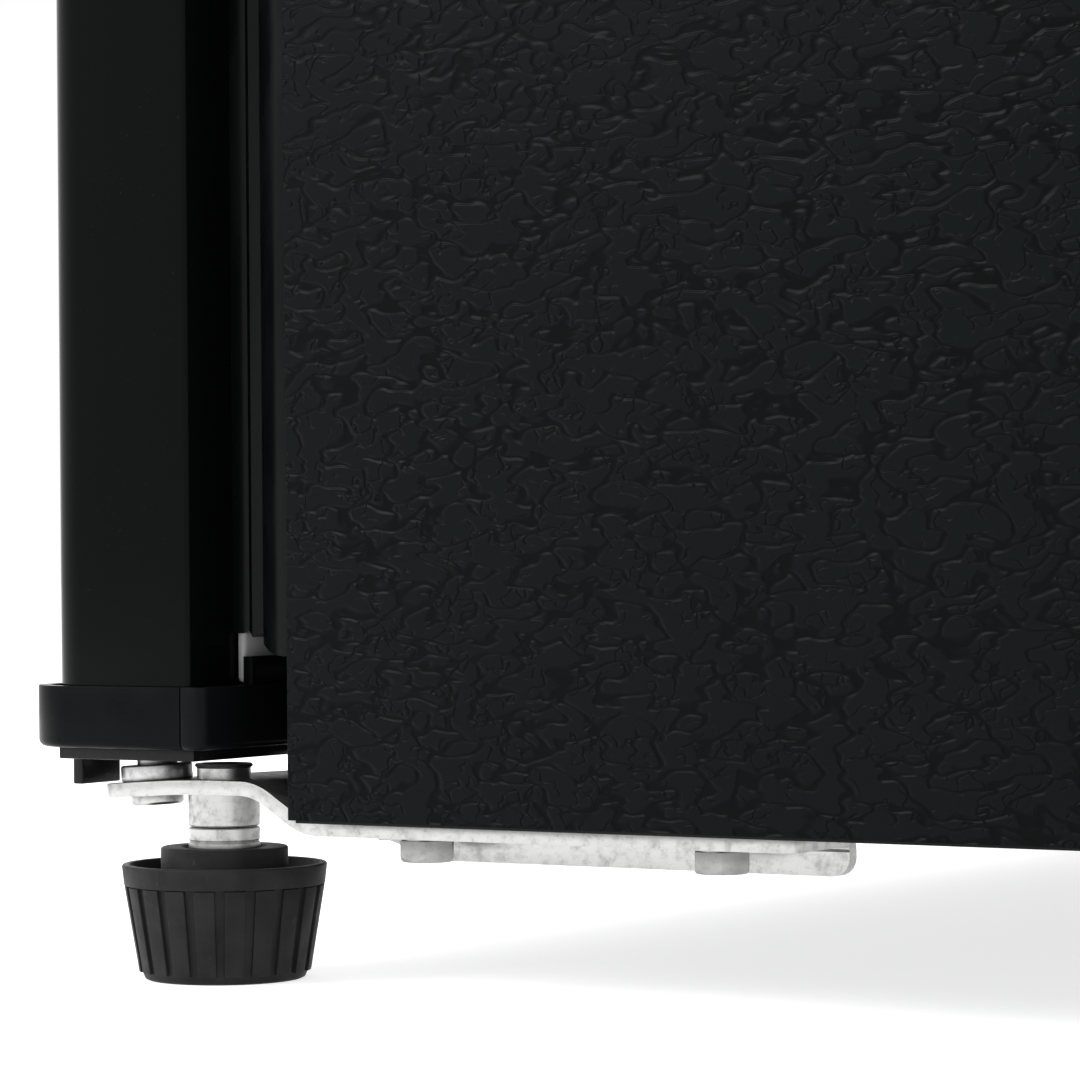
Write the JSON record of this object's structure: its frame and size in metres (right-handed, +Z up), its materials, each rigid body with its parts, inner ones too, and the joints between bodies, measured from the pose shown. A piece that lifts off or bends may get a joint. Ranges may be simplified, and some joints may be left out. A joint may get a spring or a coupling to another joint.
{
  "type": "mini fridge",
  "caption": "Black compact refrigerator with a side-hinged door, zinc-plated hinge bracket, adjustable front feet, small chiller box and rear condenser",
  "frame": {"origin": "centre of the overall footprint, on the floor", "axes": "+Z up, the door faces -Y, the hinge side is +X"},
  "size_m": [0.445, 0.468, 0.503],
  "materials": {
    "embossed_steel": "pre-painted black steel sheet with a leather-like emboss",
    "gloss_black_steel": "smooth glossy black paint",
    "moulded_black": "satin black moulded plastic",
    "black_seal": "smooth black soft vinyl, slightly glossy",
    "foot_black": "matt black moulded plastic",
    "zinc_plate": "bright zinc plating with slightly cloudy patches",
    "galvanised_steel": "galvanised sheet",
    "black_steel": "satin black paint",
    "white_plastic": "smooth white plastic",
    "clear_glass": "clear toughened glass",
    "aluminium": "satin aluminium sheet",
    "copper": "drawn copper tube",
    "foam": "yellow rigid polyurethane foam"
  },
  "bodies": {
    "cabinet": {"cabinet_wrapper": "embossed_steel", "base_panel": "galvanised_steel", "back_panel": "galvanised_steel", "cabinet_foam": "foam", "inner_liner": "white_plastic", "lower_hinge_bracket": "zinc_plate", "left_foot_bracket": "zinc_plate", "lower_hinge_bolt_front": "zinc_plate", "lower_hinge_bolt_rear": "zinc_plate", "left_bracket_bolt_front": "zinc_plate", "left_bracket_bolt_rear": "zinc_plate", "lower_hinge_pin": "zinc_plate", "lower_hinge_washer": "zinc_plate", "upper_hinge_bracket": "zinc_plate", "upper_hinge_pin": "zinc_plate", "upper_hinge_screw_front": "zinc_plate", "upper_hinge_screw_rear": "zinc_plate", "upper_hinge_cover": "moulded_black", "foot_bush_right": "zinc_plate", "foot_bush_left": "zinc_plate", "rear_foot_right": "foot_black", "rear_foot_left": "foot_black", "evaporator": "aluminium", "evaporator_hanger": "white_plastic", "drip_tray_frame": "white_plastic", "thermostat_housing": "white_plastic", "compressor_tray": "galvanised_steel", "compressor_mount": "black_steel", "compressor": "black_steel", "terminal_box": "moulded_black", "mains_inlet": "moulded_black", "evaporation_pan": "moulded_black", "condenser_coil": "black_steel", "condenser_strap_right": "black_steel", "condenser_strap_left": "black_steel", "filter_drier": "copper", "discharge_pipe": "copper", "suction_pipe": "copper"},
    "door": {"door_skin": "gloss_black_steel", "door_cap_bottom": "moulded_black", "door_cap_top": "moulded_black", "handle_cup": "moulded_black", "door_foam": "foam", "door_liner": "white_plastic", "door_gasket": "black_seal", "door_bush_lower": "moulded_black", "door_bush_upper": "moulded_black", "door_stop_plate": "black_steel"},
    "chill_flap": {"chill_flap": "white_plastic"},
    "drip_tray": {"drip_tray": "white_plastic"},
    "shelf": {"shelf_glass": "clear_glass", "shelf_trim": "white_plastic"},
    "thermostat_dial": {"thermostat_dial": "white_plastic"},
    "door_bin_lower": {"door_bin_lower": "white_plastic"},
    "door_bin_upper": {"door_bin_upper": "white_plastic"},
    "foot_stud_right": {"foot_stud_right": "zinc_plate"},
    "foot_cup_right": {"foot_cup_right": "foot_black"},
    "foot_stud_left": {"foot_stud_left": "zinc_plate"},
    "foot_cup_left": {"foot_cup_left": "foot_black"}
  },
  "joints": [
    {"name": "door_hinge", "type": "hinge", "parent": "cabinet", "child": "door", "pos_m": [0.2015, -0.214, 0.046], "axis": [0, 0, 1], "range_deg": [0, 108]},
    {"name": "flap_hinge", "type": "hinge", "parent": "cabinet", "child": "chill_flap", "pos_m": [0, -0.0433, 0.4374], "axis": [-1, 0, 0], "range_deg": [0, 85]},
    {"name": "tray_slide", "type": "slide", "parent": "cabinet", "child": "drip_tray", "axis": [0, -1, 0], "range_m": [0, 0.085]},
    {"name": "shelf_slide", "type": "slide", "parent": "cabinet", "child": "shelf", "axis": [0, -1, 0], "range_m": [0, 0.055]},
    {"name": "dial_turn", "type": "hinge", "parent": "cabinet", "child": "thermostat_dial", "pos_m": [0.1245, -0.0333, 0.4237], "axis": [0, 1, 0], "range_deg": [0, 300]},
    {"name": "bin_lift_lower", "type": "slide", "parent": "door", "child": "door_bin_lower", "axis": [0, 0, 1], "range_m": [0, 0.012]},
    {"name": "bin_lift_upper", "type": "slide", "parent": "door", "child": "door_bin_upper", "axis": [0, 0, 1], "range_m": [0, 0.012]},
    {"name": "foot_lift_right", "type": "slide", "parent": "cabinet", "child": "foot_stud_right", "axis": [0, 0, -1], "range_m": [0, 0.00625]},
    {"name": "foot_turn_right", "type": "hinge", "parent": "foot_stud_right", "child": "foot_cup_right", "pos_m": [0.2015, -0.1975, 0], "axis": [0, 0, -1], "range_deg": [0, 1800]},
    {"name": "foot_lift_left", "type": "slide", "parent": "cabinet", "child": "foot_stud_left", "axis": [0, 0, -1], "range_m": [0, 0.00625]},
    {"name": "foot_turn_left", "type": "hinge", "parent": "foot_stud_left", "child": "foot_cup_left", "pos_m": [-0.2015, -0.1975, 0], "axis": [0, 0, -1], "range_deg": [0, 1800]}
  ],
  "couplings": [
    {"joint": "foot_turn_right", "follows": "foot_lift_right", "rad_per_m": 5026.5},
    {"joint": "foot_turn_left", "follows": "foot_lift_left", "rad_per_m": 5026.5}
  ]
}
